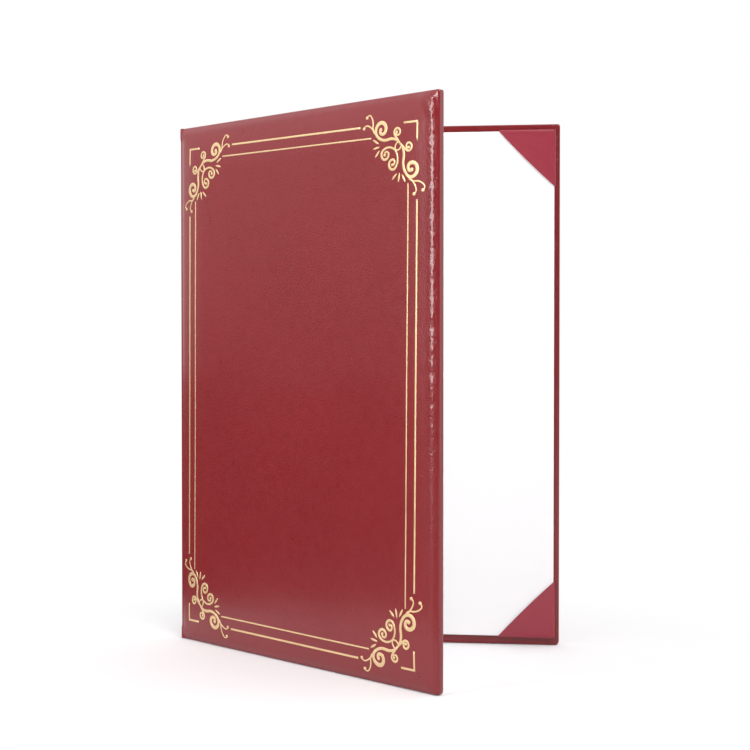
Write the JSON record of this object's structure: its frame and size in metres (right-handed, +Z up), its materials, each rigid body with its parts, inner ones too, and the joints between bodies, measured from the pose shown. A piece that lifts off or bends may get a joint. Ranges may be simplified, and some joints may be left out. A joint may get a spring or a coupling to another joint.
{
  "type": "diploma cover",
  "caption": "Padded leatherette document cover that opens like a book, with a gold-ruled front and a white inside board with corner pockets.",
  "frame": {"origin": "middle of the back cover's foot, on the surface that the cover stands on", "axes": "+Z up along the spine, +X across the back cover from the spine to its fore-edge, +Y out of the back cover's outer face"},
  "size_m": [0.2284, 0.1587, 0.31],
  "materials": {
    "leatherette": "glossy maroon coated leatherette with a fine grain",
    "leatherette_inside": "the same maroon leatherette, turned in and glued down",
    "board": "stiff grey board",
    "foam": "thin pale foam padding",
    "liner_paper": "smooth matt white paper board",
    "gold_foil": "satin gold hot-stamped foil"
  },
  "bodies": {
    "spine": {"spine_wrap": "leatherette", "spine_lining": "leatherette_inside"},
    "back_cover": {"back_wrap": "leatherette", "back_board": "board", "back_padding": "foam", "back_hinge_strip": "leatherette_inside", "back_liner": "liner_paper", "back_pocket_head_fore": "leatherette_inside", "back_pocket_foot_fore": "leatherette_inside", "back_pocket_head_spine": "leatherette_inside", "back_pocket_foot_spine": "leatherette_inside"},
    "front_cover": {"front_wrap": "leatherette", "front_board": "board", "front_padding": "foam", "front_hinge_strip": "leatherette_inside", "front_liner": "liner_paper", "foil_scroll_head_fore": "gold_foil", "foil_bracket_head_fore": "gold_foil", "foil_ray_head_fore_h1": "gold_foil", "foil_ray_head_fore_h2": "gold_foil", "foil_ray_head_fore_h3": "gold_foil", "foil_ray_head_fore_v1": "gold_foil", "foil_ray_head_fore_v2": "gold_foil", "foil_ray_head_fore_v3": "gold_foil", "foil_scroll_foot_fore": "gold_foil", "foil_bracket_foot_fore": "gold_foil", "foil_ray_foot_fore_h1": "gold_foil", "foil_ray_foot_fore_h2": "gold_foil", "foil_ray_foot_fore_h3": "gold_foil", "foil_ray_foot_fore_v1": "gold_foil", "foil_ray_foot_fore_v2": "gold_foil", "foil_ray_foot_fore_v3": "gold_foil", "foil_scroll_head_spine": "gold_foil", "foil_bracket_head_spine": "gold_foil", "foil_ray_head_spine_h1": "gold_foil", "foil_ray_head_spine_h2": "gold_foil", "foil_ray_head_spine_h3": "gold_foil", "foil_ray_head_spine_v1": "gold_foil", "foil_ray_head_spine_v2": "gold_foil", "foil_ray_head_spine_v3": "gold_foil", "foil_scroll_foot_spine": "gold_foil", "foil_bracket_foot_spine": "gold_foil", "foil_ray_foot_spine_h1": "gold_foil", "foil_ray_foot_spine_h2": "gold_foil", "foil_ray_foot_spine_h3": "gold_foil", "foil_ray_foot_spine_v1": "gold_foil", "foil_ray_foot_spine_v2": "gold_foil", "foil_ray_foot_spine_v3": "gold_foil", "foil_outer_rule_head": "gold_foil", "foil_outer_rule_foot": "gold_foil", "foil_outer_rule_spine": "gold_foil", "foil_outer_rule_fore": "gold_foil", "foil_inner_rule_head": "gold_foil", "foil_inner_rule_foot": "gold_foil", "foil_inner_rule_spine": "gold_foil", "foil_inner_rule_fore": "gold_foil"}
  },
  "joints": [
    {"name": "back_hinge", "type": "hinge", "parent": "spine", "child": "back_cover", "pos_m": [-0.112, 0.0024, 0.155], "axis": [0, 0, 1], "range_deg": [-20, 70]},
    {"name": "front_hinge", "type": "hinge", "parent": "spine", "child": "front_cover", "pos_m": [-0.11679, -0.01076, 0.155], "axis": [0, 0, -1], "range_deg": [-20, 70]}
  ]
}
